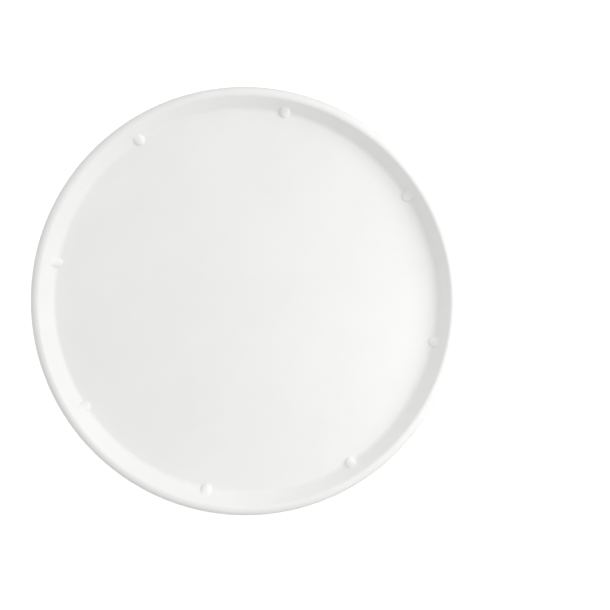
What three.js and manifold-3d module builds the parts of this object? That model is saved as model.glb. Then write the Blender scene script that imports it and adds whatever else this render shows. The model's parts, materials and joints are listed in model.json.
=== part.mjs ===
// A lazy susan turntable: a rimmed round tray that turns on a ring of steel balls over a smaller
// base with rubber feet. A screw and washer from below hold the tray's hub in the base's collar.
//
// Millimetres, +Z up. The origin is the centre of the circle that the feet stand on, so the tray
// turns about the Z axis. Every round outline is drawn in the (radius, height) half plane.

import * as THREE from "three";
import { mergeVertices } from "three/addons/utils/BufferGeometryUtils.js";
import Module from "manifold-3d";

// ---- Driving dimensions ----

// Tray
const TRAY_RADIUS = 177.8; // outside of the rim: a 14 inch tray
const RIM_HEIGHT = 15; // rim crest above the tray's floor
const FLOOR_THICKNESS = 2.8;
const WALL_THICKNESS = 2.5;
const FLOOR_RADIUS = 160.8; // corner between the floor and the sloping wall
const FLOOR_FILLET = 5;
const WALL_SLOPE = THREE.MathUtils.degToRad(57); // of the inner wall, from level
const CREST_INNER_ROUND = 3.2;
const CREST_OUTER_ROUND = 5;
const LIP_DROP = 9.5; // the turned-down lip, below the crest
const LIP_THICKNESS = 2.3;
const PIP_COUNT = 8; // round stand-off pips on the corner of floor and wall
const PIP_RADIUS = 5;
const PIP_HEIGHT = 4.5;
const PIP_ROUND = 4.3; // nearly its whole height, so the top is a dome
const TRAY_RIB_COUNT = 12;
const TRAY_RIB_THICKNESS = 1.8;
const TRAY_RIB_DEPTH = 2.4;
const STIFFENING_RING_RADIUS = 150;
const STIFFENING_RING_DEPTH = 3.5;

// Ball race
const RACE_RADIUS = 80; // circle that the ball centres travel on
const BALL_RADIUS = 4;
const BALL_COUNT = 12;
const RACE_PLAY = 0.1; // above and below each ball
const CHANNEL_HALF_WIDTH = 4.5;
const RACE_WALL_THICKNESS = 2;
const LOWER_RACE_WALL = 2.5; // height of the walls beside the lower track
const UPPER_RACE_WALL = 2.5;
const CAGE_HALF_WIDTH = 9.5;
const CAGE_THICKNESS = 2;
const POCKET_RADIUS = 4.25;

// Hub and fastener
const HUB_RADIUS = 9.3;
const COLLAR_BORE = 9.7;
const COLLAR_RADIUS = 13.5;
const COLLAR_TOP = 14;
const PILOT_RADIUS = 2.3;
const PILOT_DEPTH = 10.5;
const AXIAL_PLAY = 0.3; // between the base's web and the washer
const STACK_GAP = 0.05; // between hub, washer and screw head
const WASHER_RADIUS = 15;
const WASHER_THICKNESS = 1.5;
const WASHER_PLAY = 0.4; // around the screw
const SCREW_RADIUS = 2.1;
const SCREW_HEAD_RADIUS = 4.8;
const SCREW_HEAD_HEIGHT = 2.9;
const SCREW_HEAD_ROUND = 1.8;
const SCREW_LENGTH = 10;
const SCREW_POINT = 1;
const CROSS_WIDTH = 1.2;
const CROSS_SPAN = 5.2;
const CROSS_DEPTH = 1.7;

// Base
const BASE_RADIUS = 112;
const BASE_BOTTOM = 2.5;
const WEB_BOTTOM = 7;
const WEB_TOP = 9.5; // also the lower track
const SKIRT_THICKNESS = 2.5;
const SKIRT_CORNER_ROUND = 1; // inside, where the skirt meets the web
const SHOULDER_ROUND = 3.5;
const BASE_RIB_COUNT = 12;
const BASE_RIB_THICKNESS = 1.8;
const BASE_RIB_BOTTOM = 3.6;
const WASHER_ROOM = 3; // between the washer and the ribs under the base

// Feet
const FOOT_COUNT = 6;
const FOOT_CIRCLE = 98;
const FOOT_RADIUS = 8;
const FOOT_HEIGHT = 3.6;
const FOOT_SOCKET_DEPTH = 1.2;
const FOOT_SOCKET_PLAY = 0.3;
const SOCKET_WALL = 2;
const FOOT_ROUND = 1;

// How finely round shapes are divided
const TRAY_SEGMENTS = 56;
const BASE_SEGMENTS = 48;
const SMALL_SEGMENTS = 16;
const WASHER_SEGMENTS = 24;
const PIP_SEGMENTS = 10;
const BALL_SEGMENTS = [12, 6]; // round the ball and from pole to pole
const ARC_STEPS = 3;
const BITE = 0.5; // how far joined shapes run into each other
const TURN = 2 * Math.PI;

// Heights that follow from those
const UPPER_TRACK = WEB_TOP + 2 * (BALL_RADIUS + RACE_PLAY); // also the floor's underside
const BALL_HEIGHT = WEB_TOP + RACE_PLAY + BALL_RADIUS;
const FLOOR_TOP = UPPER_TRACK + FLOOR_THICKNESS;
const CREST = FLOOR_TOP + RIM_HEIGHT;
const HUB_BOTTOM = WEB_BOTTOM - AXIAL_PLAY;
const SOCKET_TOP = BASE_BOTTOM + FOOT_SOCKET_DEPTH;

// ---- Materials ----

const plastic = (color, roughness) =>
  new THREE.MeshStandardMaterial({ color, roughness, metalness: 0 });
const trayPlastic = plastic(0xf2f2f0, 0.45);
const basePlastic = plastic(0xececea, 0.55);
const cagePlastic = plastic(0xd9dadb, 0.5);
const footRubber = plastic(0x6c6e70, 0.85);
const ballSteel = new THREE.MeshStandardMaterial({
  color: 0xb8babd,
  roughness: 0.15,
  metalness: 1,
});
const zincSteel = new THREE.MeshStandardMaterial({
  color: 0xa9adb3,
  roughness: 0.35,
  metalness: 1,
});

// ---- Solid helpers ----

const wasm = await Module();
wasm.setup();

// A closed geometry as a manifold-3d solid, moved by an optional matrix.
function solid(geometry, matrix = new THREE.Matrix4()) {
  const bare = new THREE.BufferGeometry()
    .setAttribute("position", geometry.getAttribute("position"))
    .setIndex(geometry.getIndex())
    .applyMatrix4(matrix);
  const merged = mergeVertices(bare, 1e-4);
  return new wasm.Manifold(
    new wasm.Mesh({
      numProp: 3,
      vertProperties: new Float32Array(merged.getAttribute("position").array),
      triVerts: new Uint32Array(merged.getIndex().array),
    }),
  );
}

function geometryOf(made) {
  const { vertProperties, triVerts } = made.getMesh();
  const geometry = new THREE.BufferGeometry();
  geometry.setAttribute("position", new THREE.BufferAttribute(vertProperties, 3));
  geometry.setIndex(new THREE.BufferAttribute(triVerts, 1));
  geometry.computeVertexNormals();
  return geometry;
}

// Turns corners [radius, height, rounding] into outline points, with an arc at each rounded corner.
function outline(corners) {
  const points = [];
  const last = corners.length;
  corners.forEach(([x, y, rounding = 0], i) => {
    const corner = new THREE.Vector2(x, y);
    if (!rounding) {
      points.push(corner);
      return;
    }
    const [before, after] = [corners[(i + last - 1) % last], corners[(i + 1) % last]].map(
      ([bx, by]) => new THREE.Vector2(bx, by).sub(corner).normalize(),
    );
    const half = Math.acos(before.dot(after)) / 2;
    const centre = before
      .clone()
      .add(after)
      .setLength(rounding / Math.sin(half))
      .add(corner);
    const reach = rounding / Math.tan(half);
    const from = before.multiplyScalar(reach).add(corner).sub(centre);
    const to = after.multiplyScalar(reach).add(corner).sub(centre);
    const sweep = Math.atan2(from.cross(to), from.dot(to));
    for (let k = 0; k <= ARC_STEPS; k++) {
      const angle = (sweep * k) / ARC_STEPS;
      points.push(from.clone().rotateAround(new THREE.Vector2(), angle).add(centre));
    }
  });
  return points;
}

// Turns a (radius, height) outline about the Z axis. The outline runs anticlockwise.
function turned(corners, segments) {
  const points = outline(corners);
  const onAxis = points[0].x === 0;
  if (!onAxis) points.push(points[0].clone());
  return new THREE.LatheGeometry(points, segments).rotateX(Math.PI / 2);
}

function upright(radius, low, high, x = 0, y = 0, segments = SMALL_SEGMENTS) {
  return new THREE.CylinderGeometry(radius, radius, high - low, segments)
    .rotateX(Math.PI / 2)
    .translate(x, y, (low + high) / 2);
}

// A straight rib that runs outwards from the Z axis at an angle.
function rib(inner, outer, low, high, thickness, angle) {
  return new THREE.BoxGeometry(outer - inner, thickness, high - low)
    .translate((inner + outer) / 2, 0, (low + high) / 2)
    .rotateZ(angle);
}

// The angle and position of each of count places on a circle.
function places(count, radius, start = 0) {
  return Array.from({ length: count }, (_, i) => {
    const angle = start + (TURN * i) / count;
    return { angle, x: radius * Math.cos(angle), y: radius * Math.sin(angle) };
  });
}

function part(name, geometry, material) {
  const mesh = new THREE.Mesh(geometry, material);
  mesh.name = name;
  return mesh;
}

// ---- Tray ----

// The shell: hub, floor, sloping wall and the lip that turns down outside it.
function trayShell() {
  const run = 1 / Math.tan(WALL_SLOPE); // outward run of the wall for each mm of rise
  const wallTop = FLOOR_RADIUS + run * RIM_HEIGHT;
  const wallShift = WALL_THICKNESS / Math.sin(WALL_SLOPE);
  const lipBottom = CREST - LIP_DROP;
  const lipInner = TRAY_RADIUS - LIP_THICKNESS;
  const underCrest = CREST - WALL_THICKNESS;
  const outerWall = (z) => FLOOR_RADIUS + run * (z - FLOOR_TOP) + wallShift;
  return turned(
    [
      [0, HUB_BOTTOM + PILOT_DEPTH],
      [PILOT_RADIUS, HUB_BOTTOM + PILOT_DEPTH],
      [PILOT_RADIUS, HUB_BOTTOM],
      [HUB_RADIUS, HUB_BOTTOM],
      [HUB_RADIUS, UPPER_TRACK],
      [outerWall(UPPER_TRACK), UPPER_TRACK, FLOOR_FILLET],
      [outerWall(underCrest), underCrest, CREST_INNER_ROUND - WALL_THICKNESS],
      [lipInner, underCrest, CREST_OUTER_ROUND - LIP_THICKNESS],
      [lipInner, lipBottom],
      [TRAY_RADIUS, lipBottom],
      [TRAY_RADIUS, CREST, CREST_OUTER_ROUND],
      [wallTop, CREST, CREST_INNER_ROUND],
      [FLOOR_RADIUS, FLOOR_TOP, FLOOR_FILLET],
      [0, FLOOR_TOP],
    ],
    TRAY_SEGMENTS,
  );
}

// A ring that hangs from the floor's underside.
function underRing(inner, outer, depth) {
  return turned(
    [
      [inner, UPPER_TRACK - depth],
      [outer, UPPER_TRACK - depth],
      [outer, UPPER_TRACK + BITE],
      [inner, UPPER_TRACK + BITE],
    ],
    TRAY_SEGMENTS,
  );
}

// A domed pip that stands in the corner of floor and wall.
function pip({ x, y }) {
  return turned(
    [
      [0, FLOOR_TOP - BITE],
      [PIP_RADIUS, FLOOR_TOP - BITE],
      [PIP_RADIUS, FLOOR_TOP + PIP_HEIGHT, PIP_ROUND],
      [0, FLOOR_TOP + PIP_HEIGHT],
    ],
    PIP_SEGMENTS,
  ).translate(x, y, 0);
}

function tray() {
  const inside = RACE_RADIUS - CHANNEL_HALF_WIDTH;
  const outside = RACE_RADIUS + CHANNEL_HALF_WIDTH;
  let made = solid(trayShell())
    .add(solid(underRing(inside - RACE_WALL_THICKNESS, inside, UPPER_RACE_WALL)))
    .add(solid(underRing(outside, outside + RACE_WALL_THICKNESS, UPPER_RACE_WALL)))
    .add(
      solid(
        underRing(
          STIFFENING_RING_RADIUS,
          STIFFENING_RING_RADIUS + RACE_WALL_THICKNESS,
          STIFFENING_RING_DEPTH,
        ),
      ),
    );
  const low = UPPER_TRACK - TRAY_RIB_DEPTH;
  const high = UPPER_TRACK + BITE;
  for (const { angle } of places(TRAY_RIB_COUNT, 1)) {
    const spans = [
      [HUB_RADIUS - BITE, inside - BITE],
      [outside + BITE, STIFFENING_RING_RADIUS + BITE],
    ];
    for (const [from, to] of spans)
      made = made.add(solid(rib(from, to, low, high, TRAY_RIB_THICKNESS, angle)));
  }
  for (const place of places(PIP_COUNT, FLOOR_RADIUS)) made = made.add(solid(pip(place)));
  return part("tray", geometryOf(made), trayPlastic);
}

// ---- Base ----

// The shell: bored collar, web with the two walls of the lower race, and the outer skirt.
function baseShell() {
  const inside = RACE_RADIUS - CHANNEL_HALF_WIDTH;
  const outside = RACE_RADIUS + CHANNEL_HALF_WIDTH;
  const raceWallTop = WEB_TOP + LOWER_RACE_WALL;
  return turned(
    [
      [COLLAR_BORE, WEB_BOTTOM],
      [BASE_RADIUS - SKIRT_THICKNESS, WEB_BOTTOM, SKIRT_CORNER_ROUND],
      [BASE_RADIUS - SKIRT_THICKNESS, BASE_BOTTOM],
      [BASE_RADIUS, BASE_BOTTOM],
      [BASE_RADIUS, WEB_TOP, SHOULDER_ROUND],
      [outside + RACE_WALL_THICKNESS, WEB_TOP],
      [outside + RACE_WALL_THICKNESS, raceWallTop],
      [outside, raceWallTop],
      [outside, WEB_TOP],
      [inside, WEB_TOP],
      [inside, raceWallTop],
      [inside - RACE_WALL_THICKNESS, raceWallTop],
      [inside - RACE_WALL_THICKNESS, WEB_TOP],
      [COLLAR_RADIUS, WEB_TOP],
      [COLLAR_RADIUS, COLLAR_TOP],
      [COLLAR_BORE, COLLAR_TOP],
    ],
    BASE_SEGMENTS,
  );
}

function base() {
  const socket = FOOT_RADIUS + FOOT_SOCKET_PLAY;
  const ribStart = WASHER_RADIUS + WASHER_ROOM;
  let made = solid(baseShell());
  for (const { angle } of places(BASE_RIB_COUNT, 1, TURN / (2 * BASE_RIB_COUNT)))
    made = made.add(
      solid(
        rib(
          ribStart,
          BASE_RADIUS - SKIRT_THICKNESS + BITE,
          BASE_RIB_BOTTOM,
          WEB_BOTTOM + BITE,
          BASE_RIB_THICKNESS,
          angle,
        ),
      ),
    );
  for (const { x, y } of places(FOOT_COUNT, FOOT_CIRCLE))
    made = made.add(solid(upright(socket + SOCKET_WALL, BASE_BOTTOM, WEB_BOTTOM + BITE, x, y)));
  for (const { x, y } of places(FOOT_COUNT, FOOT_CIRCLE))
    made = made.subtract(solid(upright(socket, BASE_BOTTOM - BITE, SOCKET_TOP, x, y)));
  return part("base", geometryOf(made), basePlastic);
}

// ---- Ball race ----

// A flat ring with a round pocket for each ball.
function ballCage() {
  const low = BALL_HEIGHT - CAGE_THICKNESS / 2;
  const high = BALL_HEIGHT + CAGE_THICKNESS / 2;
  let made = solid(
    turned(
      [
        [RACE_RADIUS - CAGE_HALF_WIDTH, low],
        [RACE_RADIUS + CAGE_HALF_WIDTH, low],
        [RACE_RADIUS + CAGE_HALF_WIDTH, high],
        [RACE_RADIUS - CAGE_HALF_WIDTH, high],
      ],
      TRAY_SEGMENTS,
    ),
  );
  for (const { x, y } of places(BALL_COUNT, RACE_RADIUS, TURN / (2 * BALL_COUNT)))
    made = made.subtract(solid(upright(POCKET_RADIUS, low - BITE, high + BITE, x, y)));
  return part("ball_cage", geometryOf(made), cagePlastic);
}

function ball({ x, y }, i) {
  const number = String(i + 1).padStart(2, "0");
  const sphere = new THREE.SphereGeometry(BALL_RADIUS, ...BALL_SEGMENTS);
  const mesh = part(`ball_${number}`, sphere, ballSteel);
  mesh.position.set(x, y, BALL_HEIGHT);
  return mesh;
}

// ---- Hub fastening ----

function retainingWasher() {
  const top = HUB_BOTTOM - STACK_GAP;
  const bore = SCREW_RADIUS + WASHER_PLAY;
  return part(
    "retaining_washer",
    turned(
      [
        [bore, top - WASHER_THICKNESS],
        [WASHER_RADIUS, top - WASHER_THICKNESS],
        [WASHER_RADIUS, top],
        [bore, top],
      ],
      WASHER_SEGMENTS,
    ),
    zincSteel,
  );
}

// Pan head screw, head down, with a cross recess.
function pivotScrew() {
  const seat = HUB_BOTTOM - WASHER_THICKNESS - 2 * STACK_GAP;
  const head = seat - SCREW_HEAD_HEIGHT;
  let made = solid(
    turned(
      [
        [0, head],
        [SCREW_HEAD_RADIUS, head, SCREW_HEAD_ROUND],
        [SCREW_HEAD_RADIUS, seat],
        [SCREW_RADIUS, seat],
        [SCREW_RADIUS, seat + SCREW_LENGTH],
        [0, seat + SCREW_LENGTH + SCREW_POINT],
      ],
      SMALL_SEGMENTS,
    ),
  );
  for (const turn of [0, TURN / 4])
    made = made.subtract(
      solid(
        new THREE.BoxGeometry(CROSS_SPAN, CROSS_WIDTH, 2 * CROSS_DEPTH)
          .rotateZ(turn)
          .translate(0, 0, head),
      ),
    );
  return part("pivot_screw", geometryOf(made), zincSteel);
}

// ---- Feet ----

function foot({ x, y }, i) {
  const mesh = part(
    `foot_${i + 1}`,
    turned(
      [
        [0, 0],
        [FOOT_RADIUS, 0, FOOT_ROUND],
        [FOOT_RADIUS, FOOT_HEIGHT],
        [0, FOOT_HEIGHT],
      ],
      SMALL_SEGMENTS,
    ),
    footRubber,
  );
  mesh.position.set(x, y, 0);
  return mesh;
}

// ---- Assembly ----

const turntable = new THREE.Group();
turntable.add(tray(), base(), ballCage(), retainingWasher(), pivotScrew());
turntable.add(...places(BALL_COUNT, RACE_RADIUS, TURN / (2 * BALL_COUNT)).map(ball));
turntable.add(...places(FOOT_COUNT, FOOT_CIRCLE).map(foot));

export default turntable;
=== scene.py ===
# %% [markdown]
# # A lazy susan turntable
#
# The object is a round white tray that turns on a ring of steel balls over a smaller base. The tray is one
# injection moulding: a flat floor, a sloping wall, a rim that rolls over and turns down outside, and eight
# round-topped pips in the corner of floor and wall. Under it are a base with the lower ball track, a cage that
# spaces the balls, a screw and washer that hold the two mouldings together, and six rubber feet.
#
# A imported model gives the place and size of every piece. This script makes the fine surfaces around it.

import json
import math

import bmesh
import bpy
import numpy as np
from mathutils import Matrix, Vector


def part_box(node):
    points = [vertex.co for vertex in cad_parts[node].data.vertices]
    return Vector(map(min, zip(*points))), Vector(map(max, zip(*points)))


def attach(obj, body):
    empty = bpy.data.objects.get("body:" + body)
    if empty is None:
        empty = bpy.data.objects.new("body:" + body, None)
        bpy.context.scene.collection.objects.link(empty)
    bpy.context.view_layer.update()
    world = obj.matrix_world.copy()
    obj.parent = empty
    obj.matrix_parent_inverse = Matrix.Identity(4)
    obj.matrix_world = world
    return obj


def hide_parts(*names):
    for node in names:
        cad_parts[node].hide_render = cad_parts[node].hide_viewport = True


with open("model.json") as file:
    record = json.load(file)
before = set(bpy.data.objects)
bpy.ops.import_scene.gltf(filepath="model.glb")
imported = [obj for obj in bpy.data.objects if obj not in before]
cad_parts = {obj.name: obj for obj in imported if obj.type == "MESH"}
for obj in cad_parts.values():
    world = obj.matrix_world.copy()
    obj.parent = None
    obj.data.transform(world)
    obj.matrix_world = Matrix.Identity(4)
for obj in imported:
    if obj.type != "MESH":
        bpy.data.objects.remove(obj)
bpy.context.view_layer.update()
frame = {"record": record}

# %% [markdown]
# ## Sizes
#
# Blender works in metres, and a moulding is drawn in millimetres, so one factor turns the second into the
# first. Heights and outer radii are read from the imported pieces. Wall thicknesses and roundings are a
# toolmaker's choices: about 2.5 mm for the walls, and no corner that a finger meets is left sharp.

# %% Heights and radii
MM = 0.001

tray_low, tray_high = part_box("tray")
base_low, base_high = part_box("base")
cage_low, cage_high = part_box("ball_cage")
screw_low, screw_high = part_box("pivot_screw")
washer_low, washer_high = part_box("retaining_washer")
ball_low, ball_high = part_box("ball_01")
foot_low, foot_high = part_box("foot_1")

mounts = {mount["name"]: mount for mount in frame["record"]["mounts"]}
FLOOR_TOP = mounts["tray_floor"]["pos_m"][2]
CREST = tray_high[2]
RIM = tray_high[0]
HUB_BOTTOM = tray_low[2]
BALL_RADIUS = (ball_high[2] - ball_low[2]) / 2
BALL_HEIGHT = (ball_high[2] + ball_low[2]) / 2
RACE_PLAY = 0.1 * MM
WEB_TOP = BALL_HEIGHT - BALL_RADIUS - RACE_PLAY  # the lower ball track
UPPER_TRACK = BALL_HEIGHT + BALL_RADIUS + RACE_PLAY  # the underside of the tray's floor
RACE_RADIUS = math.hypot(ball_low[0] + ball_high[0], ball_low[1] + ball_high[1]) / 2
print(f"rim {RIM / MM:.1f} mm, floor at {FLOOR_TOP / MM:.1f} mm, crest at {CREST / MM:.1f} mm")

# %% [markdown]
# ## Three ways to make a shape
#
# Nearly everything here was turned by a toolmaker on a lathe, so the first helper turns an outline about the
# upright axis. An outline is a list of corners, each with the radius of its rounding, because that is how a
# drawing gives it. The second helper joins or cuts closed bodies, and the third finishes a mesh: it smooths
# the shading and keeps the edges that are really sharp.


# %% Round the corners of an outline
def rounded(corners, steps=8):
    """Points along an outline of (radius, height, rounding) corners, with an arc at each rounded one."""
    points = []
    for i, (x, z, *rounding) in enumerate(corners):
        corner = Vector((x, z))
        if not rounding:
            points.append(corner)
            continue
        before = (Vector(corners[i - 1][:2]) - corner).normalized()
        after = (Vector(corners[(i + 1) % len(corners)][:2]) - corner).normalized()
        half = before.angle(after) / 2
        reach = rounding[0] / math.tan(half)
        centre = corner + (before + after).normalized() * rounding[0] / math.sin(half)
        start = corner + before * reach - centre
        sweep = start.angle_signed(corner + after * reach - centre)
        for k in range(steps + 1):
            points.append(centre + Matrix.Rotation(-sweep * k / steps, 2) @ start)
    return points


# %% Turn an outline about the upright axis
def new_object(name, verts, faces):
    mesh = bpy.data.meshes.new(name)
    mesh.from_pydata([tuple(v) for v in verts], [], faces)
    mesh.validate()
    made = bpy.data.objects.new(name, mesh)
    bpy.context.scene.collection.objects.link(made)
    return made


def turned(name, points, around=192, centre=(0, 0)):
    """A closed body of revolution. A point on the axis becomes one vertex, and any other a ring."""
    verts, rings, faces = [], [], []
    for x, z in points:
        if abs(x) < 1e-7:
            rings.append([len(verts)])
            verts.append((centre[0], centre[1], z))
            continue
        rings.append(list(range(len(verts), len(verts) + around)))
        for k in range(around):
            angle = 2 * math.pi * k / around
            verts.append((centre[0] + x * math.cos(angle), centre[1] + x * math.sin(angle), z))
    on_axis = len(rings[0]) == 1 and len(rings[-1]) == 1
    for i in range(len(rings) - 1 if on_axis else len(rings)):
        low, high = rings[i], rings[(i + 1) % len(rings)]
        for k in range(around):
            after = (k + 1) % around
            if len(low) == 1:
                faces.append((low[0], high[after], high[k]))
            elif len(high) == 1:
                faces.append((low[k], low[after], high[0]))
            else:
                faces.append((low[k], low[after], high[after], high[k]))
    return new_object(name, verts, faces)


# %% Join and cut closed bodies
def combined(body, tools, operation):
    """Joins or cuts body with tools that don't touch each other, all in one step. The tools are used up."""
    gathered = bmesh.new()
    for tool in tools:
        gathered.from_mesh(tool.data)
    gathered.to_mesh(tools[0].data)
    gathered.free()
    step = body.modifiers.new("step", "BOOLEAN")
    step.operation = operation
    step.solver = "MANIFOLD"
    step.object = tools[0]
    bpy.context.view_layer.objects.active = body
    bpy.ops.object.modifier_apply(modifier=step.name)
    for tool in tools:
        bpy.data.objects.remove(tool)
    return body


# %% Finish a mesh
SPARE_ANGLE = math.radians(0.5)  # a corner this flat, between just two edges, only makes faces without area


def finished(piece, body, node, material, sharp_degrees=32):
    mesh = piece.data
    shape = bmesh.new()
    shape.from_mesh(mesh)
    bmesh.ops.remove_doubles(shape, verts=shape.verts, dist=1e-7)
    spare = [v for v in shape.verts if len(v.link_edges) == 2 and v.calc_edge_angle(math.pi) < SPARE_ANGLE]
    bmesh.ops.dissolve_verts(shape, verts=spare)
    bmesh.ops.recalc_face_normals(shape, faces=shape.faces)
    shape.to_mesh(mesh)
    shape.free()
    mesh.shade_smooth()
    mesh.set_sharp_from_angle(angle=math.radians(sharp_degrees))
    mesh.materials.clear()
    mesh.materials.append(material)
    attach(piece, body)
    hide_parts(node)
    size = [round(d / MM, 1) for d in piece.dimensions]
    print(f"{piece.name}: {len(mesh.vertices)} vertices, {len(spare)} spare ones gone, {size} mm")
    return piece


# %% Places on a circle
def places(count, radius, start=0.0):
    """(angle, x, y) of each of count places on a circle."""
    angles = [start + 2 * math.pi * i / count for i in range(count)]
    return [(a, radius * math.cos(a), radius * math.sin(a)) for a in angles]


# %% [markdown]
# ## Nodes and colours
#
# A colour is written as the sRGB hex value that a paint or plastics chart gives, and Blender wants linear
# light, so one function converts it. A second small function adds any shader node with its settings and links.


# %% Colour and node helpers
def linear(hex_colour):
    """An sRGB hex colour as linear RGBA."""
    channels = [int(hex_colour[i : i + 2], 16) / 255 for i in (1, 3, 5)]
    return [c / 12.92 if c <= 0.04045 else ((c + 0.055) / 1.055) ** 2.4 for c in channels] + [1.0]


def add(tree, kind, settings=None, **inputs):
    """Adds one node. An input is given a value, or another node's output socket to link from."""
    node = tree.nodes.new(kind)
    for name, value in (settings or {}).items():
        setattr(node, name, value)
    for name, value in inputs.items():
        socket = node.inputs[int(name[1:])] if name[1:].isdigit() else node.inputs[name.replace("_", " ")]
        if isinstance(value, bpy.types.NodeSocket):
            tree.links.new(value, socket)
        else:
            socket.default_value = value
    return node


def new_material(name):
    material = bpy.data.materials.new(name)
    material.use_nodes = True
    tree = material.node_tree
    return material, tree, tree.nodes["Principled BSDF"]


def ramp(tree, factor, stops):
    """A colour ramp of (position, colour) stops."""
    node = add(tree, "ShaderNodeValToRGB", Fac=factor)
    elements = node.color_ramp.elements
    while len(elements) < len(stops):
        elements.new(0.5)
    for element, (position, colour) in zip(elements, stops):
        element.position = position
        element.color = colour
    return node.outputs["Color"]


# %% [markdown]
# ## Satin white polypropylene
#
# The tray is polypropylene with white pigment, moulded in a tool whose cavity was lightly spark-eroded. That
# leaves a fine even grain that breaks up reflections into a soft sheen. The grain is about 0.15 mm, and it is
# drawn at 0.4 mm so that it still shows from a step away. The melt cools unevenly, so the surface also rolls by
# a few hundredths of a millimetre over some 30 mm, and the pigment varies by about a percent. White
# polypropylene lets a little light in, which a small subsurface share gives.


# %% Moulded plastic material
def moulded_plastic(name, light, dark, roughness, grain_mm, grain_height_mm):
    material, tree, shader = new_material(name)
    place = add(tree, "ShaderNodeTexCoord").outputs["Object"]
    cloud = add(tree, "ShaderNodeTexNoise", Vector=place, Scale=1 / (45 * MM), Detail=3.0, Roughness=0.55)
    tint = ramp(tree, cloud.outputs["Fac"], [(0.35, linear(dark)), (0.65, linear(light))])
    grain = add(tree, "ShaderNodeTexNoise", Vector=place, Scale=1 / (grain_mm * MM), Detail=2.0)
    roll = add(tree, "ShaderNodeTexNoise", Vector=place, Scale=1 / (30 * MM), Detail=1.0)
    gloss = add(
        tree,
        "ShaderNodeMapRange",
        Value=grain.outputs["Fac"],
        To_Min=roughness - 0.05,
        To_Max=roughness + 0.05,
    )
    wave = add(tree, "ShaderNodeBump", Height=roll.outputs["Fac"], Distance=0.03 * MM, Strength=1.0)
    bump = add(
        tree,
        "ShaderNodeBump",
        Height=grain.outputs["Fac"],
        Distance=grain_height_mm * MM,
        Strength=0.6,
        Normal=wave.outputs["Normal"],
    )
    tree.links.new(tint, shader.inputs["Base Color"])
    tree.links.new(gloss.outputs["Result"], shader.inputs["Roughness"])
    tree.links.new(bump.outputs["Normal"], shader.inputs["Normal"])
    shader.inputs["IOR"].default_value = 1.49
    shader.inputs["Subsurface Weight"].default_value = 0.12
    shader.inputs["Subsurface Radius"].default_value = (1.0, 0.95, 0.85)
    shader.inputs["Subsurface Scale"].default_value = 1.2 * MM
    print(f"{name}: grain {grain_mm} mm")
    return material


tray_plastic = moulded_plastic("satin_white_polypropylene", "#F1F1F1", "#EFEFEE", 0.46, 0.4, 0.012)
base_plastic = moulded_plastic("matt_white_polypropylene", "#E9E9E7", "#E4E4E2", 0.58, 0.6, 0.03)
cage_plastic = moulded_plastic("natural_white_acetal", "#E2E4E4", "#DADDDE", 0.38, 0.5, 0.008)

# %% [markdown]
# ## The tray's upper surface
#
# The outline of the tray's section gives the floor, the corner, the straight sloping wall and the rolled rim.
# Turned about the axis, it is the whole moulding apart from its pips and ribs. A subdivision surface could make
# the same bowl from a coarse cage, but it would round the corners as it liked, and these roundings are what the
# eye reads on a white tray.

# %% The tray's section
WALL_THICKNESS = 2.5 * MM
FLOOR_RADIUS = 160.8 * MM  # where floor and wall would meet in a sharp corner
FLOOR_FILLET = 5 * MM
WALL_SLOPE = math.radians(57)
CREST_OUTER_ROUND = 5.0 * MM
CREST_INNER_ROUND = 3.2 * MM
LIP_THICKNESS = 2.3 * MM
LIP_DROP = 9.5 * MM
HUB_RADIUS = 9.3 * MM
PILOT_RADIUS = 2.3 * MM
PILOT_DEPTH = 10.5 * MM
AROUND = 288
VISIBLE_STEPS = 10  # points along each rounding of the upper side

run = 1 / math.tan(WALL_SLOPE)
wall_top = FLOOR_RADIUS + run * (CREST - FLOOR_TOP)
wall_shift = WALL_THICKNESS / math.sin(WALL_SLOPE)
under_crest = CREST - WALL_THICKNESS


def outer_wall(z):
    return FLOOR_RADIUS + run * (z - FLOOR_TOP) + wall_shift


# Some corners only give their neighbours' roundings a direction, so they are cut off again afterwards: here the
# first rounded corner and the last two sharp ones, and below the last two sharp ones.
upper_side = rounded(
    [
        (RIM, CREST - LIP_DROP, 0.6 * MM),
        (RIM, CREST, CREST_OUTER_ROUND),
        (wall_top, CREST, CREST_INNER_ROUND),
        (FLOOR_RADIUS, FLOOR_TOP, FLOOR_FILLET),
        (0, FLOOR_TOP),
        (0, CREST - LIP_DROP),
    ],
    steps=VISIBLE_STEPS,
)[VISIBLE_STEPS + 1 : -2]
under_side = rounded(
    [
        (0, HUB_BOTTOM + PILOT_DEPTH),
        (PILOT_RADIUS, HUB_BOTTOM + PILOT_DEPTH),
        (PILOT_RADIUS, HUB_BOTTOM + 0.5 * MM),
        (PILOT_RADIUS + 0.5 * MM, HUB_BOTTOM),
        (HUB_RADIUS, HUB_BOTTOM, 0.6 * MM),
        (HUB_RADIUS, UPPER_TRACK, 1 * MM),
        (outer_wall(UPPER_TRACK), UPPER_TRACK, FLOOR_FILLET),
        (outer_wall(under_crest), under_crest, 1 * MM),
        (RIM - LIP_THICKNESS, under_crest, 2.7 * MM),
        (RIM - LIP_THICKNESS, CREST - LIP_DROP, 0.6 * MM),
        (RIM, CREST - LIP_DROP, 0.9 * MM),
        (RIM, CREST),
        (0, CREST),
    ],
    steps=6,
)[:-2]
floor_steps = [Vector((r * MM, FLOOR_TOP)) for r in (150, 120, 90, 60, 30)]
section = under_side + upper_side + floor_steps + [Vector((0, FLOOR_TOP))]
tray = turned("tray_moulding", section, AROUND)
print("points in the tray's section:", len(section))

# %% [markdown]
# ## Pips
#
# Eight pips stand where the floor meets the wall, and keep a second tray from wedging into this one. Each is a
# low round bump that grows out of the wall: its sides are steep, and its back runs smoothly into the slope
# behind it. A joined sphere would leave a hard crease there. So each pip is a round patch of surface whose
# height is the tray's own height plus a bump, and the bump fades away towards the wall. The patch then joins
# the tray as a closed body.

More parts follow.
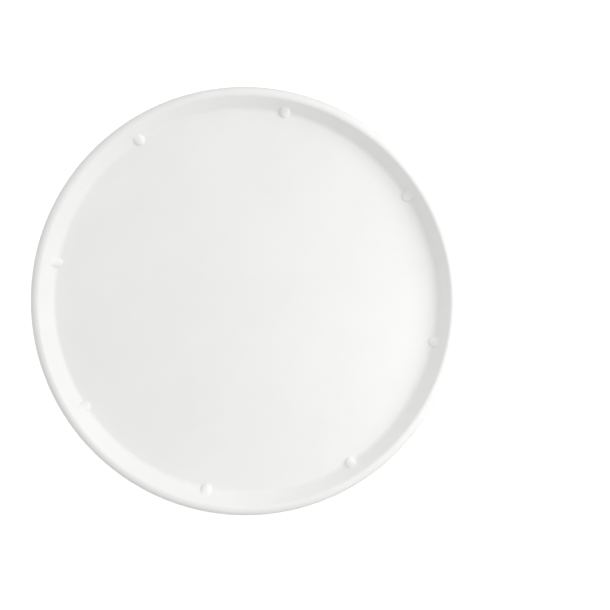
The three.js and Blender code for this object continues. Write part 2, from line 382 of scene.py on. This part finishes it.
# %% Height of the tray and of a bump on it
PIP_COUNT = 8
PIP_RADIUS = 4.4 * MM
PIP_HEIGHT = 3.0 * MM
PIP_FILLET = 0.6 * MM
PIP_SQUARENESS = 2.2  # 2 is an ellipse, and more gives steeper sides and a flatter top
BACK_STRETCH = 1.25  # a pip is this much longer towards the wall
PATCH_DEPTH = 1 * MM
PATCH_SINK = 0.04 * MM  # tucks the patch's edge just under the tray's surface

ground_points = sorted((p.x, p.y) for p in section if p.y >= FLOOR_TOP - 1e-9 and p.x <= wall_top)
ground_radii, ground_heights = np.array(ground_points).T


def ground(radius):
    return float(np.interp(radius, ground_radii, ground_heights))


def bump(distance):
    """The height of a pip over the tray at a distance from its axis, with a fillet round its foot."""
    inside = min(PIP_FILLET, max(0, PIP_RADIUS + PIP_FILLET - distance))
    fillet = PIP_FILLET - math.sqrt(PIP_FILLET**2 - inside**2)
    if distance >= PIP_RADIUS:
        return fillet
    crown = 1 - (distance / PIP_RADIUS) ** PIP_SQUARENESS
    return max(fillet, PIP_HEIGHT * crown ** (1 / PIP_SQUARENESS))


def fade(outward):
    """1 on the floor's side of a pip, and falls smoothly to 0 where its back meets the wall."""
    share = min(1, max(0, outward / (BACK_STRETCH * PIP_RADIUS)))
    return 1 - share * share * (3 - 2 * share)


# %% One pip patch
def pip_patch(angle, around=64):
    outward_way = Vector((math.cos(angle), math.sin(angle)))
    sideways = Vector((-math.sin(angle), math.cos(angle)))
    cap = [PIP_RADIUS * math.sin(math.pi / 2 * k / 18) for k in range(1, 19)]
    foot = [PIP_RADIUS + d * MM for d in (0.02, 0.06, 0.12, 0.2, 0.3, 0.4, 0.5, 0.7, 0.9, 1.3)]
    distances = cap + foot
    middle = outward_way * FLOOR_RADIUS
    verts = [(*middle, ground(FLOOR_RADIUS) + bump(0))]
    for d in distances:
        sink = PATCH_SINK if d > PIP_RADIUS + 1 * MM else 0
        for k in range(around):
            turn = 2 * math.pi * k / around
            outward = d * math.cos(turn) * (BACK_STRETCH if math.cos(turn) > 0 else 1)
            place = middle + outward_way * outward + sideways * d * math.sin(turn)
            verts.append((*place, ground(place.length) + bump(d) * fade(outward) - sink))
    top_count = len(verts)
    verts += [(x, y, ground(math.hypot(x, y)) - PATCH_DEPTH) for x, y, _ in verts]
    faces = []
    for side, flip in ((0, False), (top_count, True)):
        quads = [(side, side + 1 + k, side + 1 + (k + 1) % around) for k in range(around)]
        for ring in range(len(distances) - 1):
            low = side + 1 + ring * around
            for k in range(around):
                after = (k + 1) % around
                quads.append((low + k, low + around + k, low + around + after, low + after))
        faces += [tuple(reversed(q)) for q in quads] if flip else quads
    edge = 1 + (len(distances) - 1) * around
    for k in range(around):
        after = (k + 1) % around
        faces.append((edge + k, top_count + edge + k, top_count + edge + after, edge + after))
    return new_object("pip", verts, faces)


patches = [pip_patch(angle) for angle, _, _ in places(PIP_COUNT, FLOOR_RADIUS)]
tray = combined(tray, patches, "UNION")
print("the tray with its pips:", len(tray.data.vertices), "vertices")

# %% [markdown]
# ## The tray's underside
#
# Nobody sees it on the table, but a moulding is designed from below. Two rings wall in the ball track, thin
# radial ribs keep the floor flat as it cools, and a ring near the edge stops it from twisting. Ribs are thinner
# than the floor and taper by a degree or so, so that they leave the tool and don't pull a dent into the top.
# Small flat discs show where the ejector pins pushed the tray out.


# %% A tapered rib
RIB_EDGE = 0.25  # the bevel along a rib's free edge, as a share of its width there
RING_EDGE = 0.3  # the same for a ring's rounding


def tapered_bar(inner, outer, low, high, root, tip, angle):
    """A bar from radius inner to outer. Its free edge, at height low, is tip wide, and at high it is root."""
    shape = bmesh.new()
    bmesh.ops.create_cube(shape, size=1.0)
    for v in shape.verts:
        width = root if v.co.z > 0 else tip
        v.co = Vector(
            (
                (inner + outer) / 2 + v.co.x * (outer - inner),
                v.co.y * width,
                (low + high) / 2 + v.co.z * (high - low),
            )
        )
    free_edges = [e for e in shape.edges if all(v.co.z < (low + high) / 2 for v in e.verts)]
    long_edges = [e for e in free_edges if abs(e.verts[0].co.x - e.verts[1].co.x) > 1e-6]
    bmesh.ops.bevel(shape, geom=long_edges, offset=tip * RIB_EDGE, segments=3, profile=0.5, affect="EDGES")
    bmesh.ops.rotate(shape, verts=shape.verts, matrix=Matrix.Rotation(angle, 3, "Z"))
    mesh = bpy.data.meshes.new("rib")
    shape.to_mesh(mesh)
    shape.free()
    made = bpy.data.objects.new("rib", mesh)
    bpy.context.scene.collection.objects.link(made)
    return made


def ring_wall(inner, outer, tip, root, around):
    """A ring with a rounded free edge at height tip, whose root runs into its neighbour at height root."""
    edge = RING_EDGE * (outer - inner)
    return turned(
        "ring",
        rounded([(inner, tip, edge), (outer, tip, edge), (outer, root), (inner, root)], steps=4),
        around,
    )


# %% Race walls, ribs and ejector marks under the tray
BITE = 0.5 * MM  # how far joined bodies run into each other
CHANNEL_HALF_WIDTH = 4.5 * MM
RACE_WALL = 2 * MM
UPPER_RACE_WALL = 2.5 * MM
STIFFENING_RING = 150 * MM
STIFFENING_DEPTH = 3.5 * MM
RIB_COUNT = 12
RIB_DEPTH = 2.4 * MM
RIB_ROOT = 1.9 * MM
RIB_TIP = 1.4 * MM
race_inside = RACE_RADIUS - CHANNEL_HALF_WIDTH
race_outside = RACE_RADIUS + CHANNEL_HALF_WIDTH
root_height = UPPER_TRACK + BITE

rings = [
    ring_wall(race_inside - RACE_WALL, race_inside, UPPER_TRACK - UPPER_RACE_WALL, root_height, AROUND),
    ring_wall(race_outside, race_outside + RACE_WALL, UPPER_TRACK - UPPER_RACE_WALL, root_height, AROUND),
    ring_wall(
        STIFFENING_RING, STIFFENING_RING + RACE_WALL, UPPER_TRACK - STIFFENING_DEPTH, root_height, AROUND
    ),
]
ribs = [
    tapered_bar(start, end, UPPER_TRACK - RIB_DEPTH, root_height, RIB_ROOT, RIB_TIP, angle)
    for angle, _, _ in places(RIB_COUNT, 1)
    for start, end in (
        (HUB_RADIUS - BITE, race_inside - BITE),
        (race_outside + BITE, STIFFENING_RING + BITE),
    )
]
tray = combined(combined(tray, rings, "UNION"), ribs, "UNION")


def ejector_mark(x, y, face, depth=0.2 * MM, radius=4 * MM):
    """A shallow disc to cut into a downward face."""
    outline = rounded([(0, face - MM), (radius, face - MM), (radius, face + depth), (0, face + depth)])
    return turned("mark", outline, 48, (x, y))


half_step = math.pi / RIB_COUNT
marks = [
    ejector_mark(x, y, UPPER_TRACK)
    for count, radius in ((RIB_COUNT, 122 * MM), (RIB_COUNT // 2, 42 * MM))
    for _, x, y in places(count, radius, half_step)
]
tray = combined(tray, marks, "DIFFERENCE")
finished(tray, "tray", "tray", tray_plastic)

# %% [markdown]
# ## The base
#
# The base is a second moulding of the same plastic with a coarser grain. From above it is a disc with a rolled
# edge, the lower ball track between two low walls, and a bored collar that the tray's hub turns in. Underneath
# it is hollow, with a skirt, ribs and a socket for each foot.

# %% The base's section
BASE_RADIUS = base_high[0]
SKIRT_BOTTOM = base_low[2]
COLLAR_TOP = base_high[2]
WEB_BOTTOM = WEB_TOP - 2.5 * MM
SKIRT = 2.5 * MM
SHOULDER_ROUND = 3.5 * MM
COLLAR_BORE = 9.7 * MM
COLLAR_RADIUS = 13.5 * MM
LOWER_RACE_WALL = 2.5 * MM
race_wall_top = WEB_TOP + LOWER_RACE_WALL
EDGE = 0.5 * MM

base = turned(
    "base_moulding",
    rounded(
        [
            (COLLAR_BORE, WEB_BOTTOM, EDGE),
            (BASE_RADIUS - SKIRT, WEB_BOTTOM, 1.5 * MM),
            (BASE_RADIUS - SKIRT, SKIRT_BOTTOM, EDGE),
            (BASE_RADIUS, SKIRT_BOTTOM, EDGE),
            (BASE_RADIUS, WEB_TOP, SHOULDER_ROUND),
            (race_outside + RACE_WALL, WEB_TOP, EDGE),
            (race_outside + RACE_WALL, race_wall_top, EDGE),
            (race_outside, race_wall_top, EDGE),
            (race_outside, WEB_TOP, EDGE),
            (race_inside, WEB_TOP, EDGE),
            (race_inside, race_wall_top, EDGE),
            (race_inside - RACE_WALL, race_wall_top, EDGE),
            (race_inside - RACE_WALL, WEB_TOP, EDGE),
            (COLLAR_RADIUS, WEB_TOP, 1 * MM),
            (COLLAR_RADIUS, COLLAR_TOP, EDGE),
            (COLLAR_BORE, COLLAR_TOP, EDGE),
        ],
        steps=5,
    ),
    240,
)

# %% Ribs and foot sockets under the base
FOOT_COUNT = 6
foot_centre = (foot_low[0] + foot_high[0]) / 2
FOOT_RADIUS = (foot_high[0] - foot_low[0]) / 2
SOCKET_RADIUS = FOOT_RADIUS + 0.3 * MM
SOCKET_TOP = SKIRT_BOTTOM + 1.2 * MM
BOSS_RADIUS = SOCKET_RADIUS + 2 * MM
BOSS_TOP = WEB_BOTTOM + BITE
BASE_RIB_START = 18 * MM
BASE_RIB_BOTTOM = 3.6 * MM
BASE_RIB_ROOT = 2.0 * MM
BASE_RIB_TIP = 1.5 * MM
base_rib_end = BASE_RADIUS - SKIRT + BITE

base_ribs = [
    tapered_bar(BASE_RIB_START, base_rib_end, BASE_RIB_BOTTOM, BOSS_TOP, BASE_RIB_ROOT, BASE_RIB_TIP, angle)
    for angle, _, _ in places(RIB_COUNT, 1, half_step)
]
bosses, sockets = [], []
for _, x, y in places(FOOT_COUNT, foot_centre):
    boss = [(0, SKIRT_BOTTOM), (BOSS_RADIUS, SKIRT_BOTTOM, EDGE), (BOSS_RADIUS, BOSS_TOP), (0, BOSS_TOP)]
    hollow = [(0, 0), (SOCKET_RADIUS, 0), (SOCKET_RADIUS, SOCKET_TOP, EDGE / 2), (0, SOCKET_TOP)]
    bosses.append(turned("boss", rounded(boss, 4), 64, (x, y)))
    sockets.append(turned("socket", rounded(hollow, 4), 64, (x, y)))
base = combined(base, base_ribs + bosses, "UNION")
base = combined(base, sockets, "DIFFERENCE")
base_marks = [
    ejector_mark(x, y, WEB_BOTTOM) for radius in (66 * MM, 38 * MM) for _, x, y in places(FOOT_COUNT, radius)
]
base = combined(base, base_marks, "DIFFERENCE")
finished(base, "base", "base", base_plastic)

# %% [markdown]
# ## The ball cage
#
# The cage is a flat acetal ring. Acetal is slippery and springy, so each ball snaps past a thin lip into its
# pocket and is carried round at half the tray's speed.

# %% The ring and its pockets
BALL_COUNT = 12
POCKET_RADIUS = 4.25 * MM
cage_inner = 2 * RACE_RADIUS - cage_high[0]
cage_round = 0.4 * MM
SNAP_LIP = 0.25 * MM  # how far the lip stands proud of the ring
SNAP_LIP_WIDTH = 1 * MM
SNAP_LIP_ROUND = 0.2 * MM
POCKET_FLARE = 0.8 * MM  # each pocket's mouth opens by this much over the next millimetre
POCKET_STRAIGHT = 0.1 * MM  # how far inside the ring's faces the flare begins

cage = turned(
    "cage_ring",
    rounded(
        [
            (cage_inner, cage_low[2], cage_round),
            (cage_high[0], cage_low[2], cage_round),
            (cage_high[0], cage_high[2], cage_round),
            (cage_inner, cage_high[2], cage_round),
        ],
        steps=4,
    ),
    240,
)
ball_places = places(BALL_COUNT, RACE_RADIUS, math.pi / BALL_COUNT)
lip_outline = [
    (0, cage_low[2] - SNAP_LIP),
    (POCKET_RADIUS + SNAP_LIP_WIDTH, cage_low[2] - SNAP_LIP, SNAP_LIP_ROUND),
    (POCKET_RADIUS + SNAP_LIP_WIDTH, cage_high[2] + SNAP_LIP, SNAP_LIP_ROUND),
    (0, cage_high[2] + SNAP_LIP),
]
pocket_outline = [
    (0, cage_low[2] - MM),
    (POCKET_RADIUS + POCKET_FLARE, cage_low[2] - MM),
    (POCKET_RADIUS, cage_low[2] + POCKET_STRAIGHT),
    (POCKET_RADIUS, cage_high[2] - POCKET_STRAIGHT),
    (POCKET_RADIUS + POCKET_FLARE, cage_high[2] + MM),
    (0, cage_high[2] + MM),
]
snap_lips = [turned("lip", rounded(lip_outline, 3), 48, (x, y)) for _, x, y in ball_places]
cage = combined(cage, snap_lips, "UNION")
pockets = [turned("pocket", rounded(pocket_outline), 48, (x, y)) for _, x, y in ball_places]
cage = combined(cage, pockets, "DIFFERENCE")
finished(cage, "ball_cage", "ball_cage", cage_plastic)

# %% [markdown]
# ## Ground steel balls
#
# A bearing ball is ground and lapped until it is round to a few thousandths of a millimetre, so its surface is
# close to a mirror. Faint lapping marks spread the reflection a little, which a fine noise on the roughness
# gives.


# %% Polished steel
def polished_steel():
    material, tree, shader = new_material("lapped_bearing_steel")
    place = add(tree, "ShaderNodeTexCoord").outputs["Object"]
    marks = add(tree, "ShaderNodeTexNoise", Vector=place, Scale=1 / (0.8 * MM), Detail=4.0)
    gloss = add(tree, "ShaderNodeMapRange", Value=marks.outputs["Fac"], To_Min=0.08, To_Max=0.2)
    tint = ramp(tree, marks.outputs["Fac"], [(0.3, linear("#C4C6C8")), (0.7, linear("#D0D2D4"))])
    tree.links.new(tint, shader.inputs["Base Color"])
    tree.links.new(gloss.outputs["Result"], shader.inputs["Roughness"])
    shader.inputs["Metallic"].default_value = 1.0
    return material


ball_steel = polished_steel()

# %% Twelve balls
BALL_STEPS = 24  # from the bottom of a ball to its top
half_circle = []
for k in range(BALL_STEPS + 1):
    angle = math.pi * k / BALL_STEPS
    half_circle.append(Vector((BALL_RADIUS * math.sin(angle), BALL_HEIGHT - BALL_RADIUS * math.cos(angle))))
half_circle[0].x = half_circle[-1].x = 0

for i, (_, x, y) in enumerate(ball_places):
    node = f"ball_{i + 1:02d}"
    finished(turned(f"steel_{node}", half_circle, 48, (x, y)), node, node, ball_steel, 60)

# %% [markdown]
# ## Screw and washer
#
# The screw that holds the base on is a thread-forming screw for plastics: a pan head with a cross recess, and a
# thin sharp thread with a wide pitch. Its thread is made as rings of points whose radius rises and falls with
# the angle and the height together, which is just what a helix is. Bright zinc plating is a grey metal with a
# faint blue cast and a slightly cloudy gloss.


# %% Bright zinc plating
def zinc_plate():
    material, tree, shader = new_material("bright_zinc_plate")
    place = add(tree, "ShaderNodeTexCoord").outputs["Object"]
    cloud = add(tree, "ShaderNodeTexNoise", Vector=place, Scale=1 / (3 * MM), Detail=4.0)
    fine = add(tree, "ShaderNodeTexNoise", Vector=place, Scale=1 / (0.5 * MM), Detail=2.0)
    tint = ramp(tree, cloud.outputs["Fac"], [(0.3, linear("#AEB4BB")), (0.7, linear("#C6CBD0"))])
    gloss = add(tree, "ShaderNodeMapRange", Value=cloud.outputs["Fac"], To_Min=0.24, To_Max=0.42)
    bump = add(tree, "ShaderNodeBump", Height=fine.outputs["Fac"], Distance=0.01 * MM, Strength=0.5)
    tree.links.new(tint, shader.inputs["Base Color"])
    tree.links.new(gloss.outputs["Result"], shader.inputs["Roughness"])
    tree.links.new(bump.outputs["Normal"], shader.inputs["Normal"])
    shader.inputs["Metallic"].default_value = 1.0
    return material


zinc = zinc_plate()

# %% The washer
WASHER_BORE = 2.5 * MM
BURR_SIDE = 0.15 * MM  # a stamped washer is rounder on one face than on the other
washer_outline = [
    (WASHER_BORE, washer_low[2], 0.3 * MM),
    (washer_high[0], washer_low[2], 0.4 * MM),
    (washer_high[0], washer_high[2], BURR_SIDE),
    (WASHER_BORE, washer_high[2], BURR_SIDE),
]
washer = turned("hub_washer", rounded(washer_outline, 4), 96)
finished(washer, "tray", "retaining_washer", zinc)

# %% The screw, with its thread
HEAD_RADIUS = (screw_high[0] - screw_low[0]) / 2
HEAD_TOP = washer_low[2] - 0.05 * MM
HEAD_ROUND = 1.8 * MM
CORE = 1.55 * MM
THREAD_CREST = 2.15 * MM
CREST_SHARE = 0.4  # of each turn of the helix
PITCH = 1.8 * MM
TIP_LENGTH = 1.5 * MM
TIP_BLUNTNESS = 0.25
PLAIN_NECK = 0.4 * MM  # no thread just under the head
RUN_IN = 0.6 * MM  # the thread grows to its full height over this length


def thread_radius(angle, z):
    """The screw's radius at an angle and a height: a narrow crest in each turn of the helix."""
    phase = ((z - HEAD_TOP) / PITCH - angle / (2 * math.pi)) % 1
    crest = max(0, 1 - abs(phase - 0.5) * 2 / CREST_SHARE)
    taper = min(1, max(TIP_BLUNTNESS, (screw_high[2] - z) / TIP_LENGTH))
    start = min(1, max(0, (z - HEAD_TOP - PLAIN_NECK) / RUN_IN))
    return CORE * taper + (THREAD_CREST - CORE) * crest * start * taper


def threaded_screw():
    head = rounded(
        [
            (0, screw_low[2]),
            (HEAD_RADIUS, screw_low[2], HEAD_ROUND),
            (HEAD_RADIUS, HEAD_TOP, 0.3 * MM),
            (CORE, HEAD_TOP),
            (0, screw_high[2]),
        ],
        steps=8,
    )[:-1]  # the last corner closes the outline, and comes after the thread
    around, steps = 40, 96
    heights = [HEAD_TOP + (screw_high[2] - HEAD_TOP) * k / steps for k in range(1, steps + 1)]
    shank = [Vector((CORE, z)) for z in heights] + [Vector((0, screw_high[2]))]
    made = turned("hub_screw", head + shank, around)
    for v in made.data.vertices:
        if v.co.z > HEAD_TOP + 1e-6 and math.hypot(v.co.x, v.co.y) > 1e-6:
            angle = math.atan2(v.co.y, v.co.x)
            radius = thread_radius(angle, v.co.z)
            v.co.x, v.co.y = radius * math.cos(angle), radius * math.sin(angle)
    return made


WING_REACH = 2.6 * MM
WING_DEPTH = 1.7 * MM
WING_BOTTOM = 0.8 * MM
WING_MOUTH = 1.5 * MM


def recess_wing(turn):
    """One of the two tapered wings of the cross recess."""
    low, high = screw_low[2] - MM, screw_low[2] + WING_DEPTH
    return tapered_bar(-WING_REACH, WING_REACH, low, high, WING_BOTTOM, WING_MOUTH, turn)


screw = threaded_screw()
for turn in (0, math.pi / 2):
    screw = combined(screw, [recess_wing(turn)], "DIFFERENCE")
finished(screw, "tray", "pivot_screw", zinc, 40)

# %% [markdown]
# ## Rubber feet
#
# The feet are moulded thermoplastic rubber. Rubber hardly shines: it has a rough, slightly dusty surface, and a
# faint pale bloom. Two shallow rings in the face that meets the table help it to grip.


# %% Rubber
def foot_rubber_material():
    material, tree, shader = new_material("moulded_grey_rubber")
    place = add(tree, "ShaderNodeTexCoord").outputs["Object"]
    bloom = add(tree, "ShaderNodeTexNoise", Vector=place, Scale=1 / (4 * MM), Detail=5.0)
    pores = add(tree, "ShaderNodeTexNoise", Vector=place, Scale=1 / (0.4 * MM), Detail=3.0)
    tint = ramp(tree, bloom.outputs["Fac"], [(0.3, linear("#5E6062")), (0.75, linear("#727476"))])
    gloss = add(tree, "ShaderNodeMapRange", Value=bloom.outputs["Fac"], To_Min=0.72, To_Max=0.9)
    bump = add(tree, "ShaderNodeBump", Height=pores.outputs["Fac"], Distance=0.04 * MM, Strength=0.6)
    tree.links.new(tint, shader.inputs["Base Color"])
    tree.links.new(gloss.outputs["Result"], shader.inputs["Roughness"])
    tree.links.new(bump.outputs["Normal"], shader.inputs["Normal"])
    return material


foot_rubber = foot_rubber_material()

# %% Six feet
GROOVE_DEPTH = 0.35 * MM
GROOVE_ROUND = 0.1 * MM
GROOVE_FLOOR = 0.3 * MM  # half the width of a grip ring's floor
GROOVE_MOUTH = 0.6 * MM  # half the width at the face
GROOVE_RADII = (2.4 * MM, 4.8 * MM)
FOOT_TOP = foot_high[2]


def foot_outline():
    corners = [(0, 0)]
    for middle in GROOVE_RADII:
        corners += [
            (middle - GROOVE_MOUTH, 0, GROOVE_ROUND),
            (middle - GROOVE_FLOOR, GROOVE_DEPTH, GROOVE_ROUND),
            (middle + GROOVE_FLOOR, GROOVE_DEPTH, GROOVE_ROUND),
            (middle + GROOVE_MOUTH, 0, GROOVE_ROUND),
        ]
    corners += [(FOOT_RADIUS, 0, 0.9 * MM), (FOOT_RADIUS, FOOT_TOP, 0.4 * MM), (0, FOOT_TOP)]
    return rounded(corners, 5)


for i, (_, x, y) in enumerate(places(FOOT_COUNT, foot_centre)):
    foot = turned(f"rubber_foot_{i + 1}", foot_outline(), 64, (x, y))
    finished(foot, "base", f"foot_{i + 1}", foot_rubber)

# %% [markdown]
# ## Floor and light
#
# White on white needs care: the tray is told from its background only by the shade on its wall and rim. So the
# surroundings are bright but not even. The world is a pale studio that darkens towards the lower left, and a
# broad soft box on the right lights the far wall of the dish and shades the near one. A weak lamp with a narrow
# beam hangs over the right half of the dish, so that its floor is a little paler there.

# %% Directions seen from above
VIEW_ROLL = math.radians(11.85)  # turns the first pip a little below the middle of the right side
right = Vector((math.cos(VIEW_ROLL), math.sin(VIEW_ROLL), 0))
up = Vector((-math.sin(VIEW_ROLL), math.cos(VIEW_ROLL), 0))


def sideways(degrees):
    """A level direction, turned from the right of the picture towards its top."""
    return right * math.cos(math.radians(degrees)) + up * math.sin(math.radians(degrees))


def floor_material():
    material, tree, shader = new_material("white_card_floor")
    place = add(tree, "ShaderNodeTexCoord").outputs["Object"]
    fibre = add(tree, "ShaderNodeTexNoise", Vector=place, Scale=1 / (3 * MM), Detail=4.0)
    tint = ramp(tree, fibre.outputs["Fac"], [(0.3, linear("#F2F2F2")), (0.7, linear("#F7F7F7"))])
    tree.links.new(tint, shader.inputs["Base Color"])
    shader.inputs["Roughness"].default_value = 0.9
    shader.inputs["Emission Color"].default_value = (1, 1, 1, 1)
    shader.inputs["Emission Strength"].default_value = 0.65
    return material


FLOOR_SIZE = 6.0
corner = FLOOR_SIZE / 2
floor = new_object(
    "floor",
    [(-corner, -corner, 0), (corner, -corner, 0), (corner, corner, 0), (-corner, corner, 0)],
    [(0, 1, 2, 3)],
)
floor.data.materials.append(floor_material())
floor.visible_diffuse = False  # its glow keeps the background white, and doesn't light the tray from below


# %% The studio's walls
def studio_world(bright_way, dark, bright, below, backdrop):
    """A world that brightens smoothly towards bright_way. The camera itself sees a plain backdrop."""
    world = bpy.data.worlds.new("pale_studio")
    bpy.context.scene.world = world
    world.use_nodes = True
    tree = world.node_tree
    direction = add(tree, "ShaderNodeTexCoord").outputs["Generated"]
    along = add(tree, "ShaderNodeVectorMath", {"operation": "DOT_PRODUCT"}, _0=direction, _1=bright_way)
    level = add(
        tree,
        "ShaderNodeMapRange",
        {"interpolation_type": "SMOOTHSTEP"},
        Value=along.outputs["Value"],
        From_Min=-1.0,
        From_Max=1.0,
        To_Min=dark,
        To_Max=bright,
    )
    height = add(tree, "ShaderNodeSeparateXYZ", Vector=direction)
    share = add(
        tree,
        "ShaderNodeMapRange",
        Value=height.outputs["Z"],
        From_Min=-0.3,
        From_Max=0.1,
        To_Min=below,
        To_Max=1.0,
    )
    lit = add(
        tree,
        "ShaderNodeMath",
        {"operation": "MULTIPLY"},
        _0=level.outputs["Result"],
        _1=share.outputs["Result"],
    )
    seen = add(tree, "ShaderNodeLightPath").outputs["Is Camera Ray"]
    strength = add(tree, "ShaderNodeMapRange", Value=seen, To_Min=lit.outputs["Value"], To_Max=backdrop)
    background = tree.nodes["Background"]
    background.inputs["Color"].default_value = linear("#FFFFFE")
    tree.links.new(strength.outputs["Result"], background.inputs["Strength"])


studio_world(sideways(56), dark=0.65, bright=0.91, below=0.1, backdrop=0.92)


# %% The soft box and the overhead lamp
def soft_light(name, place, aim, size, watts, spread_degrees=180):
    light = bpy.data.lights.new(name, "AREA")
    light.shape = "SQUARE"
    light.size = size
    light.energy = watts
    light.color = linear("#FFFEFD")[:3]
    light.spread = math.radians(spread_degrees)
    lamp = bpy.data.objects.new(name, light)
    bpy.context.scene.collection.objects.link(lamp)
    lamp.location = place
    lamp.rotation_euler = (aim - place).to_track_quat("-Z", "Y").to_euler()


dish_middle = Vector((0, 0, 0))
soft_light("key_soft_box", sideways(10) * 0.72 + Vector((0, 0, 0.5)), dish_middle, 0.45, 2.8)
right_half = sideways(-20) * 0.3
soft_light("overhead_lamp", right_half + Vector((0, 0, 0.75)), right_half, 0.3, 0.036, 40)

# %% [markdown]
# ## Camera
#
# The tray faces the camera, so the camera looks down on it from above. It leans a few degrees off the tray's
# axis, to the right and towards the top of the picture, which shows a little more of the wall on the left and
# at the bottom. The tray sits left of the middle of the frame.

# %% Camera
FRAME_WIDTH = 0.5040  # of the picture, at the height of the rim
DISTANCE = 1.25
LEAN_RIGHT = math.radians(3.2)
LEAN_UP = math.radians(2.6)
TRAY_RIGHT = -0.0501  # where the rim's centre sits, from the middle of the picture
TRAY_UP = 0.0020

rim_centre = Vector((0, 0, CREST))
towards = (right * math.tan(LEAN_RIGHT) + up * math.tan(LEAN_UP) + Vector((0, 0, 1))).normalized()
across = up.cross(towards).normalized()
above = towards.cross(across)
away = (towards * DISTANCE + across * TRAY_RIGHT + above * TRAY_UP).normalized()
camera_right = up.cross(away).normalized()
camera_up = away.cross(camera_right)

camera_data = bpy.data.cameras.new("camera")
camera_data.lens = camera_data.sensor_width * DISTANCE / FRAME_WIDTH
camera = bpy.data.objects.new("camera", camera_data)
bpy.context.scene.collection.objects.link(camera)
camera.matrix_world = Matrix.Translation(rim_centre + towards * DISTANCE) @ Matrix(
    (camera_right, camera_up, away)
).transposed().to_4x4()
bpy.context.scene.camera = camera
bpy.context.scene.view_settings.view_transform = "Standard"
print(f"lens {camera_data.lens:.0f} mm")
